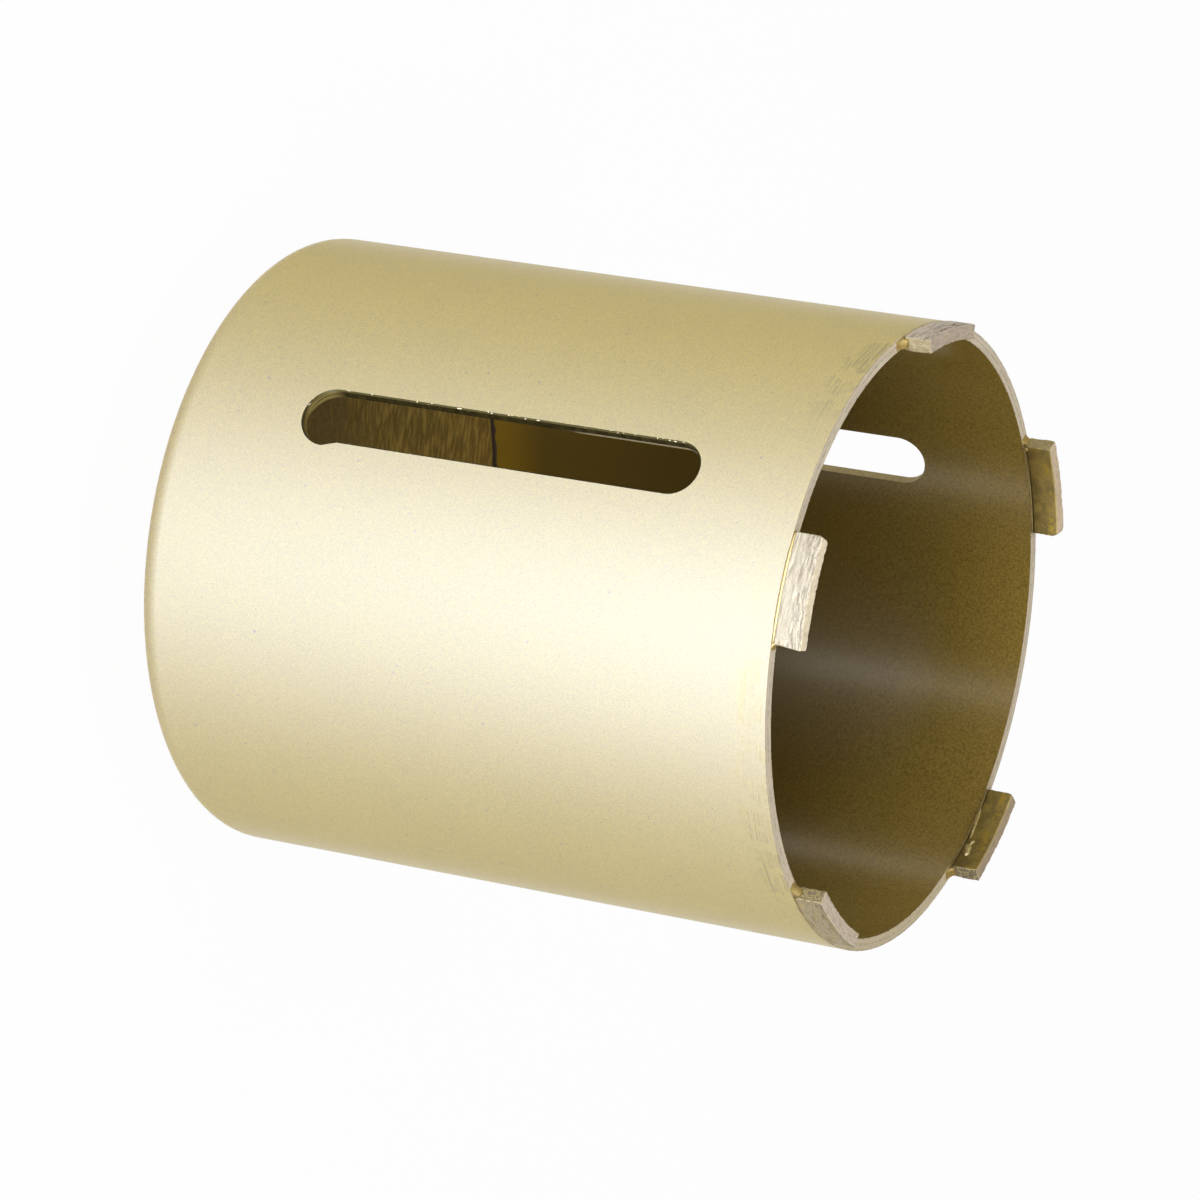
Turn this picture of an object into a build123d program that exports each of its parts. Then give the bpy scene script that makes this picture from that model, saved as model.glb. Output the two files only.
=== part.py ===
"""Diamond core bit for masonry: a slotted steel barrel with five diamond segments on its rim.

The bit stands on its threaded hub with the crown up. The origin is the centre of the hub's end face, and +Z
runs along the axis towards the crown. Everything is in millimetres and degrees.
"""
import os
from math import cos, degrees, hypot, radians, sin

from build123d import *

# Barrel: a steel tube, its back corner turned round after welding
barrel_diameter = 126.6
barrel_wall = 2.5
barrel_length = 140.8
back_corner_radius = 4.5

# Slots through the barrel's wall, measured from its back end
slot_width = 11.0
slot_foot = 29.95
slot_head = 117.4
slot_count = 3
first_slot_angle = -89.85
slot_edge_break = 0.3
pierce_overcut = 1.0
pierce_run_out = 3.2

# Back plate: a turned disc inside the barrel's back end
plate_thickness = 13.8
plate_fit = 0.05
plate_edge_break = 0.5

# Weld groove between the plate's edge and the barrel
groove_half_width = 1.4
groove_depth = 3.0

# Hub: M16 threaded boss with two spanner flats, on a spigot that fills the plate's bore
hub_diameter = 34.0
hub_projection = 16.0
hub_chamfer = 1.2
spigot_diameter = 26.0
spigot_fit = 0.04
thread_diameter = 16.0
thread_chamfer = 1.5
flat_width = 30.0
flat_height = 9.5
hub_weld_leg = 4.0

# Diamond segments, set by hand: the angle of each one's middle, and how far its two cutting corners are rounded
segment_angles = (-142.0, -71.6, 0.8, 75.7, 148.3)
leading_rounding = (1.4, 1.0, 0.35, 0.3, 1.5)
trailing_rounding = (0.3, 0.5, 0.8, 1.2, 0.4)
segment_length = 21.5
segment_height = 5.7
segment_proud_outside = 0.2
segment_proud_inside = 0.3

# Weld seam under each segment, sunk below both of the barrel's walls, with a fillet on the rim at each end
seam_height = 0.6
seam_recess = 0.25
fillet_run = 2.4
fillet_rise = 1.5
fillet_hollow = 0.39

outer_radius = barrel_diameter / 2
inner_radius = outer_radius - barrel_wall
back_z = hub_projection
rim_z = back_z + barrel_length
plate_face_z = back_z + plate_thickness
segment_foot_z = rim_z + seam_height
segment_outer = outer_radius + segment_proud_outside
segment_inner = inner_radius - segment_proud_inside
seam_outer = outer_radius - seam_recess
seam_inner = inner_radius + seam_recess
segment_arc = degrees(segment_length / ((segment_outer + segment_inner) / 2))

parts_folder = "parts"
os.makedirs(parts_folder, exist_ok=True)


def radial_plane(angle):
    """Upright plane through the axis: its x runs out at this angle, and its y runs up."""
    across = radians(angle)
    return Plane(origin=(0, 0, 0), x_dir=(cos(across), sin(across), 0), z_dir=(sin(across), -cos(across), 0))


def facing_plane(angle, radius=0):
    """Upright plane that faces out at this angle: its x runs round the axis, and its y runs up."""
    out = radians(angle)
    return Plane(
        origin=(radius * cos(out), radius * sin(out), 0),
        x_dir=(-sin(out), cos(out), 0),
        z_dir=(cos(out), sin(out), 0),
    )


def lips(edges, radius):
    """Those edges of a cut that lie on the cylinder of this radius."""
    return edges.filter_by(lambda edge: all(abs(hypot(end.X, end.Y) - radius) < 0.001 for end in edge.vertices()))


def keep(piece, name):
    """Label a finished piece and write it as its own file."""
    piece.part.label = name
    export_step(piece.part, f"{parts_folder}/{name}.step")


# Turned outline of the barrel's whole body, which rounds the back corner of barrel, weld and plate alike
with BuildPart() as turned_blank:
    with BuildSketch(Plane.XY.offset(back_z)):
        Circle(outer_radius)
    extrude(amount=barrel_length)
    fillet(turned_blank.edges().group_by(Axis.Z)[0], back_corner_radius)

# Ring with the section of the weld groove, pointed inwards
with BuildPart() as groove_ring:
    with BuildSketch(Plane.XZ):
        with BuildLine():
            Polyline(
                (inner_radius - groove_half_width, back_z),
                (inner_radius + groove_half_width, back_z),
                (inner_radius, back_z + groove_depth),
                close=True,
            )
        make_face()
    revolve(axis=Axis.Z)

# Barrel
with BuildPart() as barrel:
    with BuildSketch(Plane.XY.offset(back_z)):
        Circle(outer_radius)
        Circle(inner_radius, mode=Mode.SUBTRACT)
    extrude(amount=barrel_length)
    add(turned_blank.part, mode=Mode.INTERSECT)
    add(groove_ring.part, mode=Mode.SUBTRACT)
    for number in range(slot_count):
        slot_angle = first_slot_angle + number * 360 / slot_count
        half = slot_width / 2
        foot = back_z + slot_foot
        head = back_z + slot_head
        if number == 0:
            # The cutter pierced this slot's foot to one side, ran past its edge and came back at a slant
            pierce_radius = (slot_width + pierce_overcut) / 2
            pierce_z = foot + pierce_radius
            with BuildSketch(facing_plane(slot_angle)):
                with BuildLine():
                    head_arc = ThreePointArc((half, head - half), (0, head), (-half, head - half))
                    edge = Line(head_arc @ 1, (-half, pierce_z))
                    foot_arc = ThreePointArc(
                        edge @ 1, (pierce_radius - half, foot), (half + pierce_overcut, pierce_z)
                    )
                    slant = Line(foot_arc @ 1, (half, pierce_z + pierce_run_out))
                    Line(slant @ 1, head_arc @ 0)
                make_face()
        else:
            with BuildSketch(facing_plane(slot_angle)):
                with Locations((0, (foot + head) / 2)):
                    SlotOverall(head - foot, slot_width, rotation=90)
        extrude(amount=segment_outer, mode=Mode.SUBTRACT)
        chamfer(lips(barrel.edges(Select.LAST), outer_radius), slot_edge_break)
keep(barrel, "barrel")

# Back plate
with BuildPart() as back_plate:
    with BuildSketch(Plane.XY.offset(back_z)):
        Circle(inner_radius - plate_fit)
        Circle(spigot_diameter / 2 + spigot_fit, mode=Mode.SUBTRACT)
    extrude(amount=plate_thickness)
    rim_edge = back_plate.edges().group_by(Axis.Z)[-1].sort_by(SortBy.RADIUS)[-1]
    chamfer(rim_edge, plate_edge_break)
    add(turned_blank.part, mode=Mode.INTERSECT)
    add(groove_ring.part, mode=Mode.SUBTRACT)
keep(back_plate, "back_plate")

# Weld between plate and barrel, turned flush with both
with BuildPart() as plate_weld:
    add(groove_ring.part)
    add(turned_blank.part, mode=Mode.INTERSECT)
keep(plate_weld, "plate_weld")

# Hub
with BuildPart() as hub:
    with BuildSketch():
        Circle(hub_diameter / 2)
    extrude(amount=hub_projection)
    chamfer(hub.edges().group_by(Axis.Z)[0], hub_chamfer)
    with BuildSketch(Plane.XY):
        Rectangle(2 * hub_diameter, 2 * hub_diameter)
        Rectangle(2 * hub_diameter, flat_width, mode=Mode.SUBTRACT)
    extrude(amount=flat_height, mode=Mode.SUBTRACT)
    with BuildSketch(Plane.XY.offset(back_z)):
        Circle(spigot_diameter / 2)
    extrude(amount=plate_thickness)
    with BuildSketch(Plane.XY):
        Circle(thread_diameter / 2)
    extrude(amount=plate_face_z, mode=Mode.SUBTRACT)
    mouths = hub.edges().filter_by(GeomType.CIRCLE).sort_by(SortBy.RADIUS)[0:2]
    chamfer(mouths, thread_chamfer)
keep(hub, "hub")

# Fillet weld round the hub, against the plate's back face
with BuildPart() as hub_weld:
    with BuildSketch(Plane.XZ):
        with BuildLine():
            Polyline(
                (hub_diameter / 2, back_z - hub_weld_leg),
                (hub_diameter / 2, back_z),
                (hub_diameter / 2 + hub_weld_leg, back_z),
                close=True,
            )
        make_face()
    revolve(axis=Axis.Z)
keep(hub_weld, "hub_weld")

# Diamond segments, each with the seam that joins it to the rim
for number, middle_angle in enumerate(segment_angles):
    first_angle = middle_angle - segment_arc / 2
    last_angle = middle_angle + segment_arc / 2

    with BuildPart() as segment:
        with BuildSketch(radial_plane(first_angle)):
            with Locations(((segment_inner + segment_outer) / 2, segment_foot_z)):
                Rectangle(segment_outer - segment_inner, segment_height, align=(Align.CENTER, Align.MIN))
        revolve(axis=Axis.Z, revolution_arc=segment_arc)
        for end_angle, rounding in (
            (first_angle, leading_rounding[number]),
            (last_angle, trailing_rounding[number]),
        ):
            corner = facing_plane(end_angle, segment_outer).origin + Vector(0, 0, segment_foot_z + segment_height)
            cutting_corners = segment.edges().filter_by(GeomType.LINE).group_by(Axis.Z)[-1]
            fillet(cutting_corners.sort_by_distance(corner)[0], rounding)
    keep(segment, f"segment_{number + 1}")

    with BuildPart() as seam:
        with BuildSketch(radial_plane(first_angle)):
            with Locations(((seam_inner + seam_outer) / 2, rim_z)):
                Rectangle(seam_outer - seam_inner, seam_height, align=(Align.CENTER, Align.MIN))
        revolve(axis=Axis.Z, revolution_arc=segment_arc)
        for end_angle, away in ((first_angle, -1), (last_angle, 1)):
            with BuildSketch(facing_plane(end_angle, seam_inner)):
                with BuildLine():
                    foot_line = Line((away * fillet_run, rim_z), (0, rim_z))
                    wall_line = Line(foot_line @ 1, (0, rim_z + fillet_rise))
                    hollow = (away * fillet_run * fillet_hollow, rim_z + fillet_rise * fillet_hollow)
                    ThreePointArc(wall_line @ 1, hollow, foot_line @ 0)
                make_face()
            extrude(amount=seam_outer - seam_inner)
    keep(seam, f"seam_{number + 1}")
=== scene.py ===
"""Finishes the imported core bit: paint, ground segments, weld beads, a thread and its studio."""
import math

import bmesh
import bpy
from bpy.props import FloatProperty, FloatVectorProperty, IntProperty, PointerProperty
from mathutils import Matrix, Vector, noise


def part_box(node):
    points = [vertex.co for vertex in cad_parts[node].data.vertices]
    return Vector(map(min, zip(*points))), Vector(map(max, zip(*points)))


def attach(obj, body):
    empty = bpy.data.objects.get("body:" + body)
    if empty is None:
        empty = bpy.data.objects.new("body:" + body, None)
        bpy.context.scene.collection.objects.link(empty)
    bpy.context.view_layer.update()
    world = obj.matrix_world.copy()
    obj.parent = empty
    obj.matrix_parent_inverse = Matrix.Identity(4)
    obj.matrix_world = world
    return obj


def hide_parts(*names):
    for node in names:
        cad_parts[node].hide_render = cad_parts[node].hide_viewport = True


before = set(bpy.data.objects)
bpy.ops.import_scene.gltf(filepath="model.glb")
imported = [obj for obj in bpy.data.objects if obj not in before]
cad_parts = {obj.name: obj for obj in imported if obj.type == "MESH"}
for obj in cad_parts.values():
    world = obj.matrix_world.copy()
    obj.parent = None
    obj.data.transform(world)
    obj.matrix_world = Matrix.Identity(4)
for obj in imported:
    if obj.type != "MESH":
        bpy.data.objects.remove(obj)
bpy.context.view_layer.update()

bl_info = {
    "name": "Core Bit Finisher",
    "version": (1, 0, 0),
    "blender": (4, 5, 0),
    "location": "View3D > Sidebar > Core Bit",
    "description": "Paint, ground segments, weld beads, thread and studio for a diamond core bit",
    "category": "Object",
}

MM = 0.001
MM_PER_METRE = 1000.0
SEGMENTS = tuple(f"segment_{number}" for number in range(1, 6))
# For each segment: overspray, strength of its streaks, and the colours of its outer, cutting and end faces
# These face colours carry painted light and shade besides each segment's own tone: each face is lighter or
# darker as it was lit.
SEGMENT_LOOKS_AND_LIGHT = (
    (0.1, 1.0, (0.62, 0.52, 0.39), (0.60, 0.50, 0.38), (0.46, 0.36, 0.18)),
    (0.0, 0.6, (0.67, 0.58, 0.41), (1.0, 0.86, 0.62), (0.66, 0.59, 0.43)),
    (0.55, 0.8, (0.40, 0.33, 0.21), (0.68, 0.58, 0.44), (0.20, 0.155, 0.07)),
    (0.3, 0.6, (0.50, 0.44, 0.34), (0.46, 0.36, 0.23), (0.13, 0.10, 0.045)),
    (0.3, 0.6, (0.50, 0.44, 0.34), (0.76, 0.60, 0.41), (0.28, 0.215, 0.09)),
)
SLANTED_SEGMENT = 2
# Beads of weld along a segment: start and end as shares of its half length, heights above its foot at both
# ends, and half thickness out and up, in mm. One lies outside each seam, the others inside two segments.
OUTSIDE_BEAD = (-0.99, 0.99, (-0.28, -0.28), 0.2, 0.42)
OUTSIDE_BEAD_INSET = 0.22
INSIDE_RUNS = {
    4: ((0.55, -0.2, (0.1, 0.7), 0.3, 0.32), (-0.25, -0.4, (1.9, 1.2), 0.3, 0.35),
        (-0.36, -0.66, (1.1, 1.7), 0.45, 0.75)),
    5: ((0.97, 0.88, (0.2, 0.3), 0.2, 0.3),),
}
BEAD_SIDES = 10
# How far the seams lie below the barrel's walls, in mm
SEAM_RECESS = 0.25
FILLET_STEPS = 8
# For each seam: length and rise of its fillets at its first and last end, in mm, and how much of it is burnt
SEAM_ENDS = (
    ((0.6, 0.4), (2.4, 1.5), 0.6),
    ((0.4, 0.3), (1.2, 0.9), 0.1),
    ((2.4, 1.5), (0.6, 0.4), 0.7),
    ((2.0, 1.2), (0.4, 0.3), 0.6),
    ((0.4, 0.3), (1.2, 0.9), 0.4),
)
# Thread: depth of its ridge as a share of the pitch, and the turns over which it runs out at each mouth
THREAD_DEPTH = 0.5413
RUN_OUT_TURNS = 0.6
# Steps of the hub's weld across its face, and along each of its ripples
WELD_STEPS = 12
RIPPLE_STEPS = 6
# Heights on the bit between which its paint changes, in mm. Where the first is the higher one, the effect is
# full below them.
SLOT_HEIGHTS = (43.0, 136.5)
# Below these heights the front slot's pierced foot carries a painted highlight
LIT_PIERCED_FOOT = (53.0, 49.0)
# Below these heights the outside turns darker gold towards the back corner
BACK_CORNER = (20.0, 17.5)
PLATE_JOINT = (30.75, 30.55)
PLATE_CORNER = (44.0, 31.0)
# Painted shade deep inside the barrel, fading out towards the mouth
SHADE_DEEP_TO_MOUTH = (85.0, 150.0)
# Angles round the barrel, in degrees: the front slot, and two scratched stretches with their soft ends
# The front slot's walls carry painted shade.
FRONT_SLOT = (-104.0, -76.0)
HANDLED = ((-130.0, -104.0, 3.0), (-58.0, -8.0, 6.0))
# Back plate, in degrees: the turn from its side of painted shade to its lit side, and the slant of its
# ground strokes
SHADED_SIDE_TURN = 46
STROKE_TURN = 30
# Slow cloud in sprayed paint: its scale, and how much it changes the colour
CLOUD_SCALE = 60.0
CLOUD_CONTRAST = 0.12
# Studio, in metres. Whiteness is the share of pure white in the floor as it is seen directly.
AIM_HEIGHT = 0.085
FLOOR_GAP = 0.0002
FLOOR_SIDES = 96
FLOOR_WHITENESS = 0.97
FAR_CLIP = 50
SENSOR_MM = 36


def colour(name, description, default):
    """Colour property."""
    return FloatVectorProperty(name=name, description=description, subtype="COLOR", size=3, min=0, max=1,
                               default=default)


def length(name, description, default):
    """Property for a length in metres."""
    return FloatProperty(name=name, description=description, default=default, min=0.0, subtype="DISTANCE",
                         unit="LENGTH", precision=5)


def share(name, description, default):
    """Property between 0 and 1."""
    return FloatProperty(name=name, description=description, default=default, min=0, max=1, subtype="FACTOR")


def number(name, description, default, low=0.0):
    """Property for a plain number."""
    return FloatProperty(name=name, description=description, default=default, min=low)


class CoreBitPaint(bpy.types.PropertyGroup):
    """Paint, steel and ground metal."""
    gold: colour("Gold", "Colour of the sprayed outside", (0.43, 0.306, 0.002))
    # Darker gold, used towards the back corner, in the plate's turning rings and in the weld's spots
    corner_gold: colour("Corner gold", "Thicker paint on the back corner", (0.36, 0.22, 0.02))
    inner_gold: colour("Inner gold", "Colour of the thin coat inside the barrel", (0.33, 0.223, 0.045))
    # Painted shade deep inside the barrel
    deep_shade_gold: colour("Deep gold", "Colour deep inside the barrel", (0.145, 0.095, 0.011))
    foot_gold: colour("Foot gold", "Thicker paint in the corner beside the plate", (0.34, 0.22, 0.012))
    # Painted shade on the front slot's walls, in darker and lighter streaks
    sawn_shade_dark: colour("Sawn dark", "Dark of the slots' walls", (0.02, 0.014, 0.004))
    sawn_shade_light: colour("Sawn light", "Light of the slots' walls", (0.06, 0.045, 0.014))
    # Painted light on the other slots' walls, and a painted highlight at the front slot's pierced foot
    lit_wall_gold: colour("Pierced gold", "Bright walls of the slots, and the front slot's pierced foot",
                         (0.42, 0.31, 0.10))
    lip_gold: colour("Lip gold", "Broken edges of the slots", (0.03, 0.024, 0.008))
    bare_steel: colour("Bare steel", "Colour of the dressed rim", (0.78, 0.67, 0.49))
    # Also the painted highlight along the front slot's inner edge
    dull_steel_and_highlight: colour("Dull steel", "Scratched parts of the rim", (0.46, 0.37, 0.26))
    dirt: colour("Dirt", "Scuffs, nicks and specks", (0.10, 0.08, 0.05))
    plate_gold: colour("Plate gold", "Bright streaks of the plate's inner face", (0.50, 0.335, 0.07))
    # Also the dark spots in the painted shade on one side of the plate
    plate_dark_and_shade: colour("Plate dark", "Dark streaks of the plate's inner face", (0.24, 0.155, 0.025))
    # Painted shade on one side of the plate's inner face
    plate_shade_grey: colour("Plate grey", "Dull side of the plate's inner face", (0.30, 0.21, 0.07))
    seam_gold: colour("Seam gold", "Paint on the seams", (0.44, 0.31, 0.08))
    seam_brown: colour("Seam brown", "Burnt paint on the seams", (0.16, 0.10, 0.03))
    # Painted shadow in the groove at the foot of the segments' inner faces
    seam_shadow: colour("Seam shadow", "Dark paint in the corner of the seams", (0.05, 0.03, 0.01))
    glint: colour("Glint", "Bright points on the seams", (0.85, 0.75, 0.45))
    matrix_dark: colour("Matrix dark", "Streaks and pits of the segments", (0.17, 0.125, 0.09))
    # Also painted light on the other slots' walls, and painted glints on the segments' inner faces
    spray_gold_and_highlight: colour("Spray gold", "Paint specks on the segments", (0.50, 0.39, 0.15))
    spray_dark: colour("Spray dark", "Thin paint on the segments' inner faces", (0.13, 0.09, 0.022))
    roughness: share("Roughness", "Roughness of the paint", 0.66)
    lacquer: share("Lacquer", "Clear film on the outside", 0.12)
    edge_lacquer: share("Edge lacquer", "Clear film on the outside where it is seen edge on", 0.5)
    inner_roughness: share("Inner roughness", "Roughness of the coat inside the barrel", 0.22)
    inner_metal: share("Inner metal", "How metallic the coat inside the barrel is", 0.1)
    gloss: number("Gloss", "Refractive index of the pearly paint", 2.0, low=1)
    peel: length("Orange peel", "Size of the paint's ripples", 0.0007)


class CoreBitWear(bpy.types.PropertyGroup):
    """Ground segments, in millimetres."""
    grid: number("Grid", "Spacing of the points on a segment", 0.22, low=0.05)
    edge: number("Edge", "Radius of an unworn edge", 0.2)
    groove: number("Groove", "Depth of the grooves dragged round the outside", 0.16)
    grit: number("Grit", "Depth of the pits beside the grit", 0.16)
    chip: number("Chip", "Depth of the chips on the edges", 0.3)
    slant: number("Slant", "Extra length of the slanted segment along its cutting face", 0.6)


class CoreBitHub(bpy.types.PropertyGroup):
    """Thread and weld of the hub."""
    thread_diameter: length("Thread diameter", "Nominal diameter of the hub's thread", 0.016)
    thread_pitch: length("Thread pitch", "Rise of the thread in one turn", 0.002)
    thread_lead_in: length("Lead-in", "Depth of the countersink at each mouth", 0.0015)
    steps_per_turn: IntProperty(name="Steps per turn", description="Sections of the ridge in one turn",
                                default=72, min=12)
    ripple_spacing: length("Ripple spacing", "Distance between the ripples of the hub's weld", 0.0016)


class CoreBitStudio(bpy.types.PropertyGroup):
    """Camera, lamps, floor and surroundings."""
    eye: FloatVectorProperty(name="Eye", description="Place of the camera", subtype="TRANSLATION",
                             unit="LENGTH", size=3, default=(0.431189, -0.994485, 0.625504))
    target: FloatVectorProperty(name="Target", description="Point in the middle of the picture",
                                subtype="TRANSLATION", unit="LENGTH", size=3,
                                default=(0.0020835, 0.0019197, 0.0878950))
    roll: FloatProperty(name="Roll", description="Turn of the camera about its own axis", subtype="ANGLE",
                        unit="ROTATION", default=math.radians(99.4167))
    lens: number("Lens", "Focal length in millimetres on a 36 mm sensor", 177.848, low=1)
    floor_radius: length("Floor radius", "Radius of the floor", 4.0)
    wall_height: length("Wall height", "Height of the pale wall round the floor", 0.8)
    surroundings: number("Surroundings", "Strength of the light from all round", 0.08)
    side: number("Side", "Power of the softbox on each side in watts", 3.8)
    top: number("Top", "Power of the softbox above in watts", 9.5)
    sheen: number("Sheen", "Power of the low front lamp, which gives gloss only, in watts", 330)
    sheen_tint: colour("Sheen tint", "Colour of the low front lamp", (0.8, 0.87, 1.0))


def emptied_tree(owner):
    """Node tree of a material or world, switched on and emptied."""
    owner.use_nodes = True
    owner.node_tree.nodes.clear()
    return owner.node_tree


def feed(tree, socket, value):
    """Links a node or an output to an input, or sets the input to a number or colour."""
    if isinstance(value, bpy.types.Node):
        value = value.outputs[0]
    if isinstance(value, bpy.types.NodeSocket):
        tree.links.new(value, socket)
    elif socket.type == "RGBA" and len(value) == 3:
        socket.default_value = (*value, 1.0)
    else:
        socket.default_value = value


def put(tree, kind, values=None, **settings):
    """Adds a node. Values are numbers, colours, nodes or outputs, by the input's name or number."""
    node = tree.nodes.new(kind)
    for name, value in settings.items():
        setattr(node, name, value)
    for key, value in (values or {}).items():
        feed(tree, node.inputs[key], value)
    return node


def reckon(tree, operation, *values, clamp=False):
    """Math node."""
    return put(tree, "ShaderNodeMath", dict(enumerate(values)), operation=operation, use_clamp=clamp)


def blend_colours(tree, share_of_second, first, second):
    """Mix node for colours."""
    return put(tree, "ShaderNodeMix", {0: share_of_second, 6: first, 7: second}, data_type="RGBA").outputs[2]


def ramp(tree, value, low, high, to_low=0.0, to_high=1.0):
    """Maps a value smoothly from one range to another, clamped."""
    return put(tree, "ShaderNodeMapRange", {0: value, 1: low, 2: high, 3: to_low, 4: to_high},
               interpolation_type="SMOOTHSTEP").outputs[0]


def times(tree, first, *others):
    """Product of masks."""
    for other in others:
        first = reckon(tree, "MULTIPLY", first, other)
    return first


def highest(tree, first, *others):
    """Largest of several masks."""
    for other in others:
        first = reckon(tree, "MAXIMUM", first, other)
    return first


def outside_of(tree, mask):
    """What a mask leaves."""
    return reckon(tree, "SUBTRACT", 1.0, mask, clamp=True)


def zone(tree, value, low, high, soft):
    """Mask of a value between two limits, with soft ends."""
    above = ramp(tree, value, low - soft, low + soft)
    return times(tree, above, ramp(tree, value, high + soft, high - soft))


def fleck(tree, vector, size_mm, low, high):
    """Mask of the high spots of a noise with that grain. The vector is in millimetres."""
    grain = put(tree, "ShaderNodeTexNoise", {"Vector": vector, "Scale": 1 / size_mm, "Detail": 2.0,
                                             "Roughness": 0.6})
    return ramp(tree, grain.outputs["Fac"], low, high)


def group(name, inputs, outputs):
    """New shader node group with its sockets, and its input and output nodes."""
    tree = bpy.data.node_groups.new(name, "ShaderNodeTree")
    for label, kind, default in inputs:
        socket = tree.interface.new_socket(name=label, in_out="INPUT", socket_type=kind)
        if default is not None:
            socket.default_value = default
    for label, kind in outputs:
        tree.interface.new_socket(name=label, in_out="OUTPUT", socket_type=kind)
    return tree, tree.nodes.new("NodeGroupInput"), tree.nodes.new("NodeGroupOutput")


def give_out(tree, out, *results):
    """Links a group's results to its outputs in order."""
    for socket, result in zip(out.inputs, results):
        feed(tree, socket, result)


def use(tree, name, values=None):
    """Places a node group in a tree."""
    return put(tree, "ShaderNodeGroup", values, node_tree=bpy.data.node_groups[name])


def build_drum_group():
    """Places on a turned part in mm: round it, out from its axis and up, and which way its surface faces."""
    numbers = ("Around", "Out", "Up", "Angle", "Facing Out", "Facing Up")
    tree, _, out = group("Drum Place", (), (*((name, "NodeSocketFloat") for name in numbers),
                                            ("Wrapped", "NodeSocketVector")))
    place = put(tree, "ShaderNodeTexCoord").outputs["Object"]
    axes = put(tree, "ShaderNodeSeparateXYZ", {0: place})
    flat = put(tree, "ShaderNodeCombineXYZ", {0: axes.outputs[0], 1: axes.outputs[1]})
    out_m = put(tree, "ShaderNodeVectorMath", {0: flat}, operation="LENGTH").outputs["Value"]
    out_mm = reckon(tree, "MULTIPLY", out_m, MM_PER_METRE)
    up_mm = reckon(tree, "MULTIPLY", axes.outputs[2], MM_PER_METRE)
    turn = reckon(tree, "ARCTAN2", axes.outputs[1], axes.outputs[0])
    around = reckon(tree, "MULTIPLY", turn, out_mm)
    angle = reckon(tree, "MULTIPLY", turn, 180 / math.pi)
    radial = put(tree, "ShaderNodeVectorMath", {0: flat}, operation="NORMALIZE")
    normal = put(tree, "ShaderNodeNewGeometry").outputs["Normal"]
    facing_out = put(tree, "ShaderNodeVectorMath", {0: radial, 1: normal}, operation="DOT_PRODUCT")
    facing_up = put(tree, "ShaderNodeSeparateXYZ", {0: normal}).outputs[2]
    wrapped = put(tree, "ShaderNodeCombineXYZ", {0: around, 1: out_mm, 2: up_mm})
    give_out(tree, out, around, out_mm, up_mm, angle, facing_out.outputs["Value"], facing_up, wrapped)


def build_coat_group():
    """Sprayed metallic paint: its colour with flakes and a slow cloud in it, and a ripple for its bump."""
    tree, given, out = group(
        "Sprayed Coat",
        (("Paint", "NodeSocketColor", (1.0, 1.0, 1.0, 1.0)), ("Flake Size", "NodeSocketFloat", 0.4),
         ("Flake Contrast", "NodeSocketFloat", 0.1), ("Ripple Size", "NodeSocketFloat", 0.9)),
        (("Colour", "NodeSocketColor"), ("Ripple", "NodeSocketFloat")))
    place = put(tree, "ShaderNodeTexCoord").outputs["Object"]
    flake_scale = reckon(tree, "DIVIDE", MM_PER_METRE, given.outputs["Flake Size"])
    ripple_scale = reckon(tree, "DIVIDE", MM_PER_METRE, given.outputs["Ripple Size"])
    flakes = put(tree, "ShaderNodeTexNoise", {"Vector": place, "Scale": flake_scale, "Detail": 2.0,
                                              "Roughness": 0.7})
    cloud = put(tree, "ShaderNodeTexNoise", {"Vector": place, "Scale": CLOUD_SCALE, "Detail": 4.0,
                                             "Roughness": 0.6})
    ripple = put(tree, "ShaderNodeTexNoise", {"Vector": place, "Scale": ripple_scale, "Detail": 1.0,
                                              "Roughness": 0.4})
    spread = times(tree, reckon(tree, "SUBTRACT", flakes, 0.5), given.outputs["Flake Contrast"])
    drift = times(tree, reckon(tree, "SUBTRACT", cloud, 0.5), CLOUD_CONTRAST)
    tone = reckon(tree, "ADD", reckon(tree, "MULTIPLY_ADD", spread, 4.0, 1.0), drift)
    toned = put(tree, "ShaderNodeVectorMath", {0: given.outputs["Paint"], 3: tone}, operation="SCALE")
    give_out(tree, out, toned, ripple.outputs["Fac"])


def build_streak_group():
    """Streaks drawn out along one direction of a vector in millimetres, as a mask."""
    tree, given, out = group(
        "Streaks",
        (("Vector", "NodeSocketVector", None), ("Long", "NodeSocketFloat", 6.0),
         ("Thin", "NodeSocketFloat", 0.25), ("Low", "NodeSocketFloat", 0.55),
         ("High", "NodeSocketFloat", 0.7)),
        (("Mask", "NodeSocketFloat"), ("Value", "NodeSocketFloat")))
    axes = put(tree, "ShaderNodeSeparateXYZ", {0: given.outputs["Vector"]})
    along = reckon(tree, "DIVIDE", axes.outputs[0], given.outputs["Long"])
    out_thin = reckon(tree, "DIVIDE", axes.outputs[1], given.outputs["Thin"])
    up_thin = reckon(tree, "DIVIDE", axes.outputs[2], given.outputs["Thin"])
    place = put(tree, "ShaderNodeCombineXYZ", {0: along, 1: out_thin, 2: up_thin})
    streak = put(tree, "ShaderNodeTexNoise", {"Vector": place, "Scale": 1.0, "Detail": 3.0,
                                              "Roughness": 0.65}).outputs["Fac"]
    give_out(tree, out, ramp(tree, streak, given.outputs["Low"], given.outputs["High"]), streak)


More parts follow.
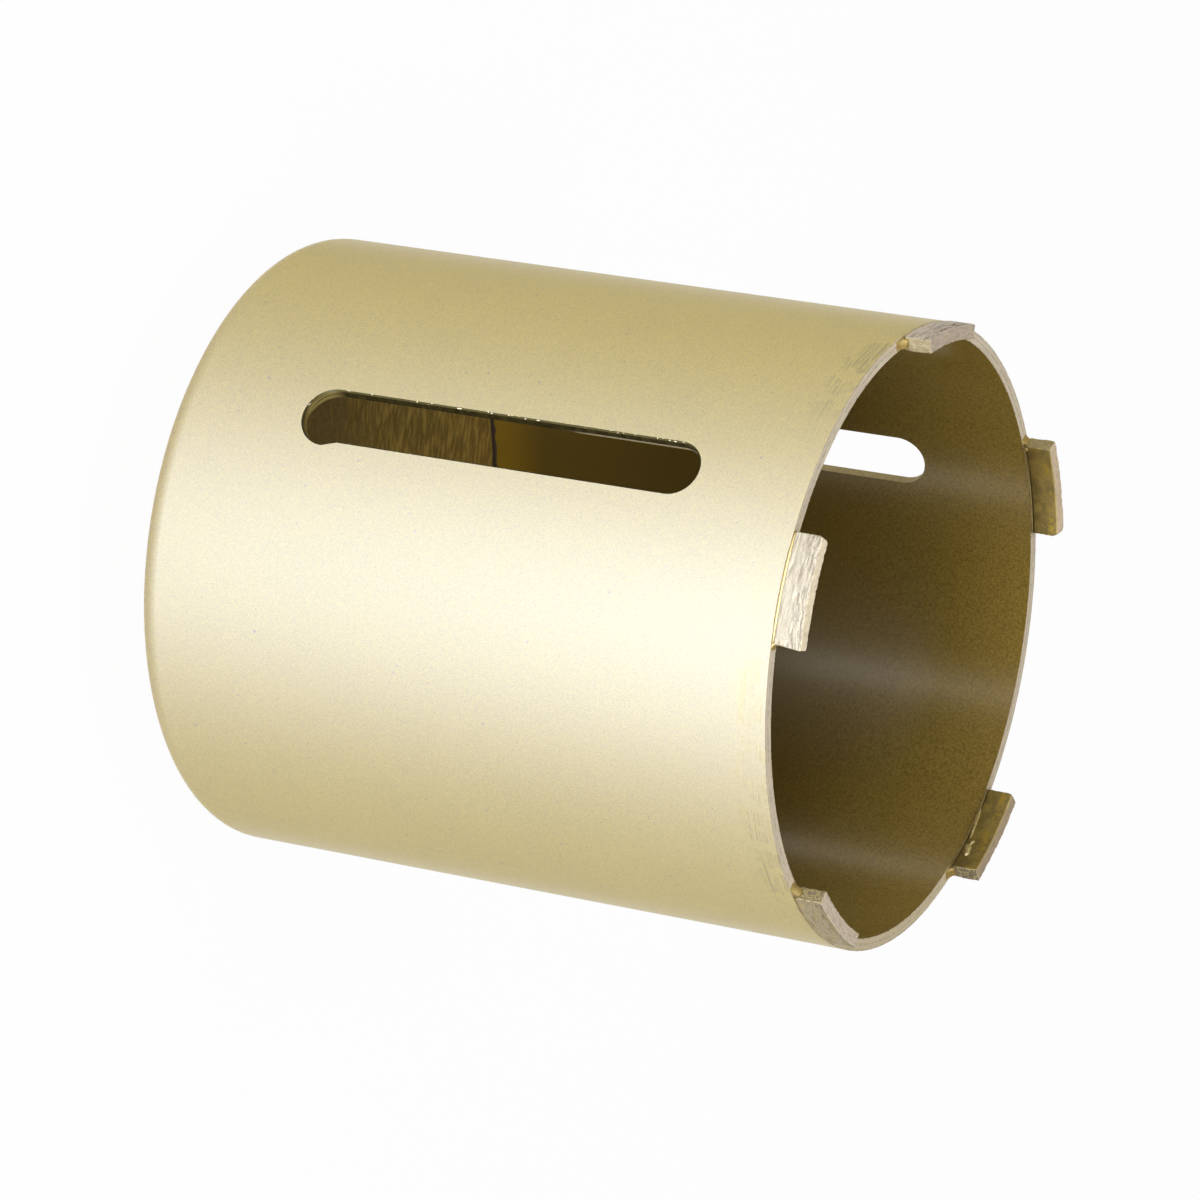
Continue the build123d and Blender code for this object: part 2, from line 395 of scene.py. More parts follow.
def build_turned_group():
    """Turning marks: fine rings of one tool pass each on a turned face, by the radius in millimetres."""
    tree, given, out = group("Turned Marks",
                             (("Radius", "NodeSocketFloat", 0.0), ("Pitch", "NodeSocketFloat", 0.3)),
                             (("Rings", "NodeSocketFloat"),))
    passes = reckon(tree, "DIVIDE", given.outputs["Radius"], given.outputs["Pitch"])
    fine = put(tree, "ShaderNodeTexNoise", {"W": passes, "Scale": 1.0, "Detail": 2.0, "Roughness": 0.7},
               noise_dimensions="1D")
    give_out(tree, out, fine.outputs["Fac"])


def new_material(name):
    """Empty node material and its Principled shader, linked to the output."""
    material = bpy.data.materials.new(name)
    tree = emptied_tree(material)
    shader = put(tree, "ShaderNodeBsdfPrincipled")
    put(tree, "ShaderNodeOutputMaterial", {0: shader})
    return material, tree, shader


def bump(tree, height, strength, distance_mm):
    """Bump node for a height between 0 and 1."""
    return put(tree, "ShaderNodeBump", {"Height": height, "Strength": strength,
                                        "Distance": distance_mm * MM})


def streaks(tree, vector, long, thin, low, high):
    """Streaks group with its values. Long and thin are in millimetres."""
    return use(tree, "Streaks", {"Vector": vector, "Long": long, "Thin": thin, "Low": low, "High": high})


def outer_coat(tree, paint):
    """Gold paint as it is sprayed on the whole outside of the bit."""
    return use(tree, "Sprayed Coat", {"Paint": paint.gold, "Flake Size": 0.22, "Flake Contrast": 0.42,
                                      "Ripple Size": paint.peel / MM})


def barrel_outside(tree, drum, paint, coat, rim_z):
    """Colour of the barrel's sprayed outside, and a mask of the scratches behind its rim."""
    up, angle, wrapped = (drum.outputs[name] for name in ("Up", "Angle", "Wrapped"))
    # Darker gold towards the back corner
    darker_back = times(tree, ramp(tree, up, *BACK_CORNER), 0.35)
    gold = blend_colours(tree, darker_back, coat.outputs["Colour"], paint.corner_gold)
    speck = times(tree, fleck(tree, wrapped, 1.1, 0.72, 0.76), 0.8)
    gold = blend_colours(tree, speck, gold, paint.dirt)

    near_rim = ramp(tree, up, rim_z - 8.0, rim_z - 4.5)
    handled = highest(tree, *(zone(tree, angle, *span) for span in HANDLED), 0.2)
    rubbed = streaks(tree, wrapped, 26.0, 0.18, 0.5, 0.6)
    hatch = streaks(tree, wrapped, 9.0, 0.24, 0.58, 0.63)
    lines = highest(tree, times(tree, rubbed, 0.55), times(tree, hatch, 0.7))
    scratched = times(tree, lines, fleck(tree, wrapped, 5.0, 0.4, 0.52), near_rim, handled)
    return blend_colours(tree, scratched, gold, paint.dirt), scratched


def barrel_inside(tree, drum, paint, inside):
    """Colour of the barrel's inside: painted shade darker towards the plate, with a dark joint line in its
    corner.
    """
    up, wrapped = drum.outputs["Up"], drum.outputs["Wrapped"]
    coat = use(tree, "Sprayed Coat", {"Paint": paint.inner_gold, "Flake Size": 0.5, "Flake Contrast": 0.4,
                                      "Ripple Size": 1.2})
    # Painted shade: darker deep inside the barrel, fading towards the mouth
    inner = blend_colours(tree, ramp(tree, up, *SHADE_DEEP_TO_MOUTH), paint.deep_shade_gold, coat.outputs["Colour"])
    inner = blend_colours(tree, ramp(tree, up, *PLATE_CORNER), inner, paint.foot_gold)
    uneven = reckon(tree, "ADD", up, times(tree, fleck(tree, wrapped, 3.0, 0.3, 0.7), 0.4))
    joint = times(tree, ramp(tree, uneven, *PLATE_JOINT), inside)
    return blend_colours(tree, joint, inner, paint.dirt)


def slot_walls(tree, drum, paint, front):
    """Colour of the slots' sawn walls: painted shade in the front slot, with a painted highlight along its
    inner edge and at its pierced foot, and painted light on the other slots' walls.
    """
    up, out, angle = (drum.outputs[name] for name in ("Up", "Out", "Angle"))
    down_the_wall = put(tree, "ShaderNodeCombineXYZ", {0: out, 1: up, 2: angle})
    sawn = streaks(tree, down_the_wall, 2.5, 0.3, 0.45, 0.62)
    # Painted shade on the front slot's walls
    dark = blend_colours(tree, sawn, paint.sawn_shade_dark, paint.sawn_shade_light)
    # Painted light on the other slots' walls
    light = blend_colours(tree, sawn, paint.lit_wall_gold, paint.spray_gold_and_highlight)
    round_the_foot = put(tree, "ShaderNodeCombineXYZ", {0: drum.outputs["Around"], 1: out})
    pierced = streaks(tree, round_the_foot, 9.0, 0.3, 0.4, 0.6)
    # Painted highlight at the front slot's pierced foot
    lit_foot_colour = blend_colours(tree, pierced, paint.sawn_shade_light, paint.lit_wall_gold)
    foot = times(tree, front, ramp(tree, up, *LIT_PIERCED_FOOT))
    # Painted highlight along the front slot's inner edge
    burr_highlight = times(tree, ramp(tree, out, 61.2, 60.95), ramp(tree, up, 100.0, 110.0), 0.7)
    dark = blend_colours(tree, burr_highlight, dark, paint.dull_steel_and_highlight)
    dark = blend_colours(tree, foot, dark, lit_foot_colour)
    return blend_colours(tree, front, light, dark)


def rim_steel(tree, drum, paint):
    """Colour of the dressed rim, bare steel with some paint on it, and a mask of its marks."""
    out, angle, wrapped = (drum.outputs[name] for name in ("Out", "Angle", "Wrapped"))
    dressed = streaks(tree, wrapped, 9.0, 0.28, 0.4, 0.65)
    steel = blend_colours(tree, times(tree, dressed, 0.65), paint.bare_steel, paint.dull_steel_and_highlight)
    gilded = times(tree, ramp(tree, angle, -12.0, 20.0), ramp(tree, angle, 110.0, 70.0), 0.35)
    steel = blend_colours(tree, gilded, steel, paint.spray_gold_and_highlight)
    groove = times(tree, zone(tree, out, 61.9, 62.15, 0.08), fleck(tree, wrapped, 0.9, 0.45, 0.6), 0.6)
    edge = times(tree, ramp(tree, out, 63.0, 63.25), fleck(tree, wrapped, 1.2, 0.35, 0.6), 0.7)
    nicks = times(tree, ramp(tree, out, 61.15, 60.85), fleck(tree, wrapped, 0.8, 0.55, 0.62))
    marks = highest(tree, groove, edge, nicks)
    return blend_colours(tree, marks, steel, paint.dirt), marks


def barrel_material(paint):
    """Gold paint outside, a thin dark coat inside with painted shade deep down, sawn slot walls with painted
    light and shade, and bare steel on the dressed rim.
    """
    material, tree, shader = new_material("Barrel Paint")
    drum = use(tree, "Drum Place")
    up, angle, facing = (drum.outputs[name] for name in ("Up", "Angle", "Facing Out"))
    rim_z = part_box("barrel")[1][2] / MM
    inside = ramp(tree, facing, -0.3, -0.7)
    level = ramp(tree, drum.outputs["Facing Up"], 0.4, 0.7)
    rim = times(tree, ramp(tree, up, rim_z - 0.5, rim_z - 0.2), level)
    slots = zone(tree, up, *SLOT_HEIGHTS, 0.5)
    wall = times(tree, ramp(tree, reckon(tree, "ABSOLUTE", facing), 0.55, 0.35), slots)
    lip = times(tree, zone(tree, facing, 0.6, 0.85, 0.05), slots)
    front = zone(tree, angle, *FRONT_SLOT, 1.0)

    coat = outer_coat(tree, paint)
    gold, scratched = barrel_outside(tree, drum, paint, coat, rim_z)
    body = blend_colours(tree, inside, gold, barrel_inside(tree, drum, paint, inside))
    body = blend_colours(tree, wall, body, slot_walls(tree, drum, paint, front))
    body = blend_colours(tree, lip, body, paint.lip_gold)
    chipped = times(tree, lip, fleck(tree, drum.outputs["Wrapped"], 0.7, 0.67, 0.71))
    body = blend_colours(tree, chipped, body, paint.bare_steel)
    steel, marks = rim_steel(tree, drum, paint)
    feed(tree, shader.inputs["Base Color"], blend_colours(tree, rim, body, steel))

    coated_metal = times(tree, inside, outside_of(tree, rim), paint.inner_metal)
    sawn_metal = times(tree, wall, ramp(tree, front, 0.0, 1.0, 0.5, 1.0))
    bare_metal = highest(tree, times(tree, rim, 0.15), times(tree, scratched, 0.6), sawn_metal, lip)
    feed(tree, shader.inputs["Metallic"], highest(tree, coated_metal, bare_metal))
    smoother = times(tree, inside, paint.roughness - paint.inner_roughness)
    feed(tree, shader.inputs["Roughness"], reckon(tree, "SUBTRACT", paint.roughness, smoother))
    shader.inputs["IOR"].default_value = paint.gloss
    edge_on = put(tree, "ShaderNodeLayerWeight", {"Blend": 0.5}).outputs["Facing"]
    film = ramp(tree, edge_on, 0.68, 0.92, paint.lacquer, paint.edge_lacquer)
    lacquered = times(tree, ramp(tree, facing, 0.5, 0.9), outside_of(tree, rim), film)
    feed(tree, shader.inputs["Coat Weight"], lacquered)
    shader.inputs["Coat Roughness"].default_value = 0.35
    hollows = times(tree, reckon(tree, "ADD", scratched, times(tree, rim, marks)), 0.8)
    height = reckon(tree, "SUBTRACT", times(tree, coat.outputs["Ripple"], 0.6), hollows)
    feed(tree, shader.inputs["Normal"], bump(tree, height, 0.35, 0.05))
    return material


def plate_material(paint):
    """Back plate: turned behind, and ground in slanted strokes inside, with mottled painted shade on one
    side.
    """
    material, tree, shader = new_material("Plate Coat")
    drum = use(tree, "Drum Place")
    out = drum.outputs["Out"]
    behind = ramp(tree, drum.outputs["Facing Up"], -0.2, -0.6)
    in_front = outside_of(tree, behind)
    place = put(tree, "ShaderNodeTexCoord").outputs["Object"]
    turned_place, leaning_place = (
        put(tree, "ShaderNodeMapping", {"Vector": place, "Rotation": (0.0, 0.0, -math.radians(turn)),
                                        "Scale": (MM_PER_METRE,) * 3})
        for turn in (SHADED_SIDE_TURN, STROKE_TURN))
    ground = streaks(tree, leaning_place, 4.2, 1.0, 0.4, 0.64)
    stroked = blend_colours(tree, ground, paint.plate_dark_and_shade, paint.plate_gold)
    # Painted shade on one side of the inner face, mottled with dark spots, giving way to the lit side
    spots = fleck(tree, turned_place, 1.2, 0.4, 0.65)
    mottled = blend_colours(tree, spots, paint.plate_shade_grey, paint.plate_dark_and_shade)
    across = put(tree, "ShaderNodeSeparateXYZ", {0: turned_place}).outputs[1]
    lit_side = reckon(tree, "ADD", ramp(tree, across, -20.0, 34.0),
                         times(tree, fleck(tree, turned_place, 6.0, 0.35, 0.65), 0.5))
    face = blend_colours(tree, ramp(tree, lit_side, 0.3, 0.9), mottled, stroked)
    face = blend_colours(tree, ramp(tree, out, 59.7, 60.4), face, paint.dirt)
    rings = use(tree, "Turned Marks", {"Radius": out, "Pitch": 0.35})
    ringed = ramp(tree, rings, 0.35, 0.7, 0.0, 0.25)
    back = blend_colours(tree, ringed, outer_coat(tree, paint), paint.corner_gold)
    feed(tree, shader.inputs["Base Color"], blend_colours(tree, behind, face, back))
    feed(tree, shader.inputs["Metallic"], times(tree, in_front, 0.75))
    feed(tree, shader.inputs["Roughness"], reckon(tree, "MULTIPLY_ADD", behind, 0.1, 0.5))
    shader.inputs["IOR"].default_value = paint.gloss
    height = reckon(tree, "ADD", times(tree, behind, rings, 0.7),
                    times(tree, in_front, ground.outputs["Value"]))
    feed(tree, shader.inputs["Normal"], bump(tree, height, 0.4, 0.06))
    return material


def weld_material(paint):
    """Gold paint over weld metal, darker in the toes of the bead."""
    material, tree, shader = new_material("Weld Coat")
    drum = use(tree, "Drum Place")
    coat = use(tree, "Sprayed Coat", {"Paint": paint.gold, "Flake Size": 0.3, "Flake Contrast": 0.2,
                                      "Ripple Size": 0.6})
    rings = use(tree, "Turned Marks", {"Radius": drum.outputs["Out"], "Pitch": 0.35})
    spots = fleck(tree, drum.outputs["Wrapped"], 0.9, 0.5, 0.68)
    darker = highest(tree, times(tree, spots, 0.5), times(tree, rings, 0.3))
    feed(tree, shader.inputs["Base Color"], blend_colours(tree, darker, coat, paint.corner_gold))
    shader.inputs["Roughness"].default_value = 0.55
    shader.inputs["IOR"].default_value = paint.gloss
    height = reckon(tree, "ADD", coat.outputs["Ripple"], times(tree, rings, 0.5))
    feed(tree, shader.inputs["Normal"], bump(tree, height, 0.4, 0.06))
    return material


def hub_material(paint):
    """Gold paint on the hub, rubbed near its end, with a bare end face and thread."""
    material, tree, shader = new_material("Hub Coat")
    drum = use(tree, "Drum Place")
    out, up, wrapped = (drum.outputs[name] for name in ("Out", "Up", "Wrapped"))
    coat = outer_coat(tree, paint)
    rings = use(tree, "Turned Marks", {"Radius": out, "Pitch": 0.25})
    steel = blend_colours(tree, rings, paint.bare_steel, paint.dull_steel_and_highlight)
    end_face = times(tree, ramp(tree, drum.outputs["Facing Up"], -0.8, -0.95), ramp(tree, up, 0.3, 0.1))
    bore = ramp(tree, out, 9.8, 9.4)
    rubbed = times(tree, fleck(tree, wrapped, 1.5, 0.5, 0.62), ramp(tree, up, 3.0, 0.5), 0.7)
    bare = highest(tree, end_face, bore, rubbed)
    feed(tree, shader.inputs["Base Color"], blend_colours(tree, bare, coat, steel))
    feed(tree, shader.inputs["Metallic"], times(tree, bare, 0.8))
    feed(tree, shader.inputs["Roughness"], reckon(tree, "MULTIPLY_ADD", bare, -0.2, paint.roughness))
    shader.inputs["IOR"].default_value = paint.gloss
    height = reckon(tree, "ADD", times(tree, coat.outputs["Ripple"], 0.6), times(tree, bare, rings, 0.8))
    feed(tree, shader.inputs["Normal"], bump(tree, height, 0.35, 0.05))
    return material


def seam_material(paint, name, burning, glinting):
    """Gold paint over weld metal between the rim and a segment, brown where it burnt, with bright points."""
    material, tree, shader = new_material(name)
    wrapped = use(tree, "Drum Place").outputs["Wrapped"]
    burnt = times(tree, fleck(tree, wrapped, 2.6, 0.3, 0.7), burning)
    painted = blend_colours(tree, burnt, paint.seam_gold, paint.seam_brown)
    glint = times(tree, fleck(tree, wrapped, 0.4, 0.5, 0.58), glinting)
    feed(tree, shader.inputs["Base Color"], blend_colours(tree, glint, painted, paint.glint))
    shader.inputs["Roughness"].default_value = 0.45
    shader.inputs["Metallic"].default_value = 0.25
    feed(tree, shader.inputs["Normal"], bump(tree, fleck(tree, wrapped, 0.6, 0.2, 0.8), 0.4, 0.06))
    return material


def segment_inside(tree, paint, wrapped, up, low, high):
    """Colour of a segment's inner face: thin olive paint, lighter along its top with painted glints, and
    painted shadow at its foot.
    """
    lumps = fleck(tree, wrapped, 2.2, 0.35, 0.7)
    thinner = reckon(tree, "MULTIPLY_ADD", lumps, 0.5, 0.35)
    olive = blend_colours(tree, thinner, paint.inner_gold, paint.spray_dark)
    drops = fleck(tree, wrapped, 1.8, 0.45, 0.6)
    band = times(tree, zone(tree, up, high - 2.4, high - 0.7, 0.5), drops, 0.7)
    olive = blend_colours(tree, band, olive, paint.foot_gold)
    # Lighter along the top edge, with bright points that are painted glints
    bright = highest(tree, ramp(tree, up, high - 0.5, high - 0.15), fleck(tree, wrapped, 0.35, 0.66, 0.7))
    olive = blend_colours(tree, times(tree, bright, 0.6), olive, paint.spray_gold_and_highlight)
    shadow = times(tree, ramp(tree, up, low + 0.55, low + 0.25), 0.85)
    return blend_colours(tree, shadow, olive, paint.seam_shadow)


def segment_material(paint, number, looks):
    """Ground metal matrix with grit: streaked outside, gold painted inside, and bare on the cutting face."""
    # The face colours carry painted light and shade besides the segment's own tone
    overspray, streaking, lit_outer_tone, lit_cut_tone, lit_end_tone = looks
    material, tree, shader = new_material(f"Ground Segment {number}")
    drum = use(tree, "Drum Place")
    up, wrapped = drum.outputs["Up"], drum.outputs["Wrapped"]
    level, facing = drum.outputs["Facing Up"], drum.outputs["Facing Out"]
    low, high = (corner[2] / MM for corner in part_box(f"segment_{number}"))
    outer = ramp(tree, facing, 0.45, 0.75)
    inner = ramp(tree, facing, -0.45, -0.75)
    cutting = ramp(tree, level, 0.45, 0.75)
    ends = times(tree, outside_of(tree, outer), outside_of(tree, inner), outside_of(tree, cutting))

    worn_side = ramp(tree, up, low, high, 0.35, 1.0)
    dragged = streaks(tree, wrapped, 3.0, 0.36, 0.47, 0.58)
    fine = streaks(tree, wrapped, 1.6, 0.12, 0.45, 0.7)
    pits = fleck(tree, wrapped, 0.4, 0.58, 0.66)
    lines = highest(tree, times(tree, dragged, worn_side), times(tree, fine, 0.35))
    dark = times(tree, highest(tree, lines, times(tree, pits, worn_side)), streaking)
    ground = blend_colours(tree, dark, lit_outer_tone, paint.matrix_dark)
    patchy = highest(tree, fleck(tree, wrapped, 0.9, 0.52, 0.66), times(tree, lines, streaking))
    bare = blend_colours(tree, times(tree, patchy, 0.35), lit_cut_tone, paint.matrix_dark)
    speckled = blend_colours(tree, times(tree, pits, 0.8), lit_end_tone, paint.matrix_dark)
    body = blend_colours(tree, cutting, ground, bare)
    body = blend_colours(tree, ends, body, speckled)

    sprayed = fleck(tree, wrapped, 0.4, 0.74 - 0.42 * overspray, 0.8 - 0.42 * overspray)
    gilded_ends = times(tree, ends, fleck(tree, wrapped, 0.5, 0.5, 0.58), 0.7)
    golden = highest(tree, times(tree, sprayed, outside_of(tree, cutting)), gilded_ends)
    body = blend_colours(tree, golden, body, paint.spray_gold_and_highlight)
    olive = segment_inside(tree, paint, wrapped, up, low, high)
    feed(tree, shader.inputs["Base Color"], blend_colours(tree, inner, body, olive))
    feed(tree, shader.inputs["Metallic"], reckon(tree, "MULTIPLY_ADD", inner, 0.35, 0.05))
    feed(tree, shader.inputs["Roughness"], reckon(tree, "MULTIPLY_ADD", dark, 0.15, 0.5))
    shader.inputs["Specular IOR Level"].default_value = 0.25
    height = reckon(tree, "SUBTRACT", fleck(tree, wrapped, 0.35, 0.2, 0.8), times(tree, dark, 0.8))
    feed(tree, shader.inputs["Normal"], bump(tree, height, 0.5, 0.08))
    return material


def finish_piece(name, mesh, material, replaced=None):
    """Turns a bmesh into a piece on the bit's body, in place of a CAD node if one is named."""
    bmesh.ops.recalc_face_normals(mesh, faces=mesh.faces)
    data = bpy.data.meshes.new(name)
    mesh.to_mesh(data)
    mesh.free()
    data.shade_smooth()
    data.materials.append(material)
    piece = bpy.data.objects.new(name, data)
    bpy.context.scene.collection.objects.link(piece)
    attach(piece, "root")
    if replaced:
        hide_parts(replaced)


def polar(angle, radius, height):
    """Point at that angle in radians, radius and height in millimetres."""
    return Vector((radius * math.cos(angle), radius * math.sin(angle), height)) * MM


def ring_skin(mesh, sections, closed):
    """Skins a row of equal sections, as a closed ring or with a cap at each end."""
    rings = [[mesh.verts.new(point) for point in section] for section in sections]
    pairs = zip(rings, rings[1:] + rings[:1]) if closed else zip(rings, rings[1:])
    for near, far in pairs:
        for index in range(len(near)):
            mesh.faces.new((near[index - 1], near[index], far[index], far[index - 1]))
    if not closed:
        mesh.faces.new(rings[0])
        mesh.faces.new(reversed(rings[-1]))


def block_skin(counts, place):
    """Grid skin of a block. place gives the point for shares of its length, depth and height."""
    mesh = bmesh.new()
    points = {}

    def corner(steps):
        if steps not in points:
            points[steps] = mesh.verts.new(place(*(step / count for step, count in zip(steps, counts))))
        return points[steps]

    for axis in range(3):
        first, second = (axis + 1) % 3, (axis + 2) % 3
        for level in (0, counts[axis]):
            for i in range(counts[first]):
                for j in range(counts[second]):
                    ring = []
                    for across, along in ((0, 0), (1, 0), (1, 1), (0, 1)):
                        steps = [0, 0, 0]
                        steps[axis], steps[first], steps[second] = level, i + across, j + along
                        ring.append(corner(tuple(steps)))
                    mesh.faces.new(ring)
    return mesh


class NodeShape:
    """Angles, radii and heights that a CAD segment spans, in radians and millimetres."""

    def __init__(self, name):
        points = [vertex.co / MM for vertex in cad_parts[name].data.vertices]
        middle = sum(points, Vector()) / len(points)
        self.middle = math.atan2(middle.y, middle.x)
        turns = [self.turn(point) for point in points]
        radii = [math.hypot(point.x, point.y) for point in points]
        self.middle += (max(turns) + min(turns)) / 2
        self.half = (max(turns) - min(turns)) / 2
        self.inner, self.outer = min(radii), max(radii)
        self.foot, self.top = min(point.z for point in points), max(point.z for point in points)
        self.length = 2 * self.half * (self.inner + self.outer) / 2
        self.height = self.top - self.foot
        self.rounding = [self.top - max(point.z for point in points if abs(self.turn(point) - end) < 0.001)
                         for end in (-self.half, self.half)]

    def turn(self, point):
        """Angle of a point from the segment's middle."""
        angle = math.atan2(point.y, point.x) - self.middle
        return (angle + math.pi) % (2 * math.pi) - math.pi


def round_corner(along, up, length, height, radii):
    """Moves a point of a rectangle so that its corners are rounded: two at its foot, then two at its top."""
    right, high = along > length / 2, up > height / 2
    radius = radii[2 * high + right]
    past_side = along - (length - radius) if right else radius - along
    past_level = up - (height - radius) if high else radius - up
    if past_side <= 0 or past_level <= 0:
        return along, up
    shrink = max(past_side, past_level) / math.hypot(past_side, past_level) - 1
    inward = shrink if right else -shrink
    downward = shrink if high else -shrink
    return along + past_side * inward, up + past_level * downward


def worn_depth(wear, point, normal, wrapped):
    """Depth in mm that grooves outside, pits beside the grit and chips on the edges take off a segment."""
    outward = (normal.x * point.x + normal.y * point.y) / math.hypot(point.x, point.y)
    end_face = max(0.0, 1 - abs(outward) - abs(normal.z))
    edge = 1 - max(abs(outward), abs(normal.z), end_face)
    drag = noise.noise(Vector((wrapped.x / 3.5, wrapped.y / 0.5, wrapped.z / 0.45)))
    grit = noise.noise(wrapped / 0.7)
    chip = noise.noise(wrapped / 1.6 + Vector((31, 7, 3)))
    depth = wear.groove * max(0.0, outward) * max(0.0, drag) ** 2 * 6
    depth += wear.grit * (max(0.0, normal.z) + 0.7 * end_face) * max(0.0, grit + 0.25)
    depth += wear.chip * min(1.0, 4 * max(0.0, edge - 0.12)) * max(0.0, chip + 0.05) * 2
    return depth


def segment_skin(name, wear, seed, slant):
    """Ground segment with rounded edges. Its cutting face is longer by slant, in millimetres."""
    shape = NodeShape(name)
    radii = (wear.edge, wear.edge, max(wear.edge, shape.rounding[0]), max(wear.edge, shape.rounding[1]))
    depth = shape.outer - shape.inner
    counts = tuple(max(4, round(size / wear.grid)) for size in (shape.length, depth, shape.height))
    middle_radius = (shape.inner + shape.outer) / 2

    def place(share_along, share_out, share_up):
        along, up = share_along * shape.length, share_up * shape.height
        along, up = round_corner(along, up, shape.length, shape.height, radii)
        along += slant * share_along * up / shape.height
        angle = shape.middle + (along - shape.length / 2) / middle_radius
        return polar(angle, shape.inner + share_out * depth, shape.foot + up)

    mesh = block_skin(counts, place)
    bmesh.ops.recalc_face_normals(mesh, faces=mesh.faces)
    for _ in range(2):
        bmesh.ops.smooth_vert(mesh, verts=mesh.verts, factor=0.5, use_axis_x=True, use_axis_y=True,
                              use_axis_z=True)
    mesh.normal_update()
    offset = Vector((seed * 17.3, seed * 5.1, seed * 9.7))
    for vertex in mesh.verts:
        point = vertex.co / MM
        around = math.atan2(point.y, point.x) * middle_radius
        wrapped = Vector((around, math.hypot(point.x, point.y), point.z)) + offset
        seated = min(1.0, max(0.0, (point.z - shape.foot) / 0.5))
        vertex.co += vertex.normal * -worn_depth(wear, point, vertex.normal, wrapped) * seated * MM
    return mesh


def seam_skin(name, first_fillet, last_fillet):
    """Weld between the rim and a segment, with a hollow fillet against each end of the segment."""
    shape = NodeShape(name)
    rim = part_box("barrel")[1][2] / MM
    wall_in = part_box("back_plate")[1][0] / MM + SEAM_RECESS
    wall_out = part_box("barrel")[1][0] / MM - SEAM_RECESS
    middle_radius = (wall_in + wall_out) / 2
    half = shape.length / 2

    def section(along, top):
        angle = shape.middle + along / middle_radius
        wander = 0.12 * noise.noise(Vector((along / 1.3, shape.middle * 9, 4.0)))
        low, inner, outer = rim - 0.05, wall_in - wander, wall_out + wander
        step = (top - low) * 0.25
        outline = ((inner, low), (inner - 0.05, low + step), (inner, top - step), (inner + 0.25, top),
                   (outer - 0.25, top), (outer, top - step), (outer + 0.05, low + step), (outer, low))
        return [polar(angle, *corner) for corner in outline]

    def fillet(run, rise, side):
        steps = (index / FILLET_STEPS for index in range(FILLET_STEPS + 1))
        return [section(side * (half + run * (1 - step)), rim + rise * step ** 2 + 0.02) for step in steps]

    count = int(shape.length / 0.5)
    under = [section(-half + 0.02 + (shape.length - 0.04) * index / count, shape.foot + 0.02)
             for index in range(count + 1)]
    mesh = bmesh.new()
    sections = [*fillet(*first_fillet, -1), *under, *reversed(fillet(*last_fillet, 1))]
    ring_skin(mesh, sections, closed=False)
    return mesh


def bead_skin(stations):
    """Bead through stations of angle, radius, height, and half thickness out and up, in millimetres."""
    mesh = bmesh.new()
    sections = []
    for angle, radius, height, half_out, half_up in stations:
        turns = (2 * math.pi * index / BEAD_SIDES for index in range(BEAD_SIDES))
        sections.append([polar(angle, radius + half_out * math.cos(turn), height + half_up * math.sin(turn))
                         for turn in turns])
    ring_skin(mesh, sections, closed=False)
    return mesh


def bead_stations(shape, bead, radius, seed):
    """Stations of a bead along a segment, tapered at both ends and uneven in its height."""
    start, end, heights, half_out, half_up = bead
    count = max(6, int(abs(end - start) * shape.length / 2 / 0.35))
    for index in range(count + 1):
        share_in = index / count
        taper = math.sqrt(min(1.0, 0.02 + 5 * share_in, 0.02 + 5 * (1 - share_in)))
        swell = 1 + 0.3 * noise.noise(Vector((index * 0.45, seed, 7.0)))
        angle = shape.middle + shape.half * (start + (end - start) * share_in)
        height = shape.foot + heights[0] + (heights[1] - heights[0]) * share_in
        yield angle, radius, height, half_out * taper, half_up * taper * swell


def thread_skin(sizes):
    """Helical ridge of the hub's inside thread, run out into the countersinks at both mouths."""
    low, high = (corner[2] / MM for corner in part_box("hub"))
    start, end = low + sizes.thread_lead_in / MM, high - sizes.thread_lead_in / MM
    pitch = sizes.thread_pitch / MM
    root = sizes.thread_diameter / MM / 2
    full_depth = THREAD_DEPTH * pitch
    steps = int((end - start) / pitch * sizes.steps_per_turn)
    sections = []
    for step in range(steps + 1):
        turn = step / sizes.steps_per_turn
        height = start + turn * pitch
        left = min(turn, steps / sizes.steps_per_turn - turn)
        depth = full_depth * min(1.0, left / RUN_OUT_TURNS) + 0.01
        top = pitch / 8
        foot = top + (pitch * 7 / 16 - top) * depth / (full_depth + 0.01)
        angle = turn * 2 * math.pi
        sections.append([polar(angle, root + 0.02, height - foot), polar(angle, root - depth, height - top),
                         polar(angle, root - depth, height + top), polar(angle, root + 0.02, height + foot)])
    mesh = bmesh.new()
    ring_skin(mesh, sections, closed=False)
    return mesh


def hub_bead_skin(sizes):
    """Fillet weld round the hub, laid in overlapping ripples."""
    reach, _, back = (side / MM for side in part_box("hub_weld")[1])
    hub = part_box("hub")[1][0] / MM
    leg = reach - hub
    count = int(2 * math.pi * (hub + leg / 2) / (sizes.ripple_spacing / MM))
    steps = count * RIPPLE_STEPS
    sections = []
    for step in range(steps):
        angle = 2 * math.pi * step / steps
        wander = noise.noise(Vector((math.cos(angle) * 4, math.sin(angle) * 4, 2.0)))
        section = []
        for index in range(WELD_STEPS + 1):
            across = index / WELD_STEPS
            lag = 4 * (across - 0.5) ** 2
            phase = (angle / (2 * math.pi) * count + 0.45 * lag) % 1.0
            crown = math.sin(math.pi * across)
            swell = crown * (0.55 + 0.16 * wander + 0.2 * (1 - phase) ** 1.5)
            out = leg * across * (1 + 0.06 * wander) + swell * 0.7
            section.append(polar(angle, hub + out, back - leg + leg * across - swell * 0.7))
        section.append(polar(angle, hub, back))
        sections.append(section)
    mesh = bmesh.new()
    ring_skin(mesh, sections, closed=True)
    return mesh


def dress(name, material):
    """Puts a material on a CAD node."""
    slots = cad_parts[name].data.materials
    slots.clear()
    slots.append(material)


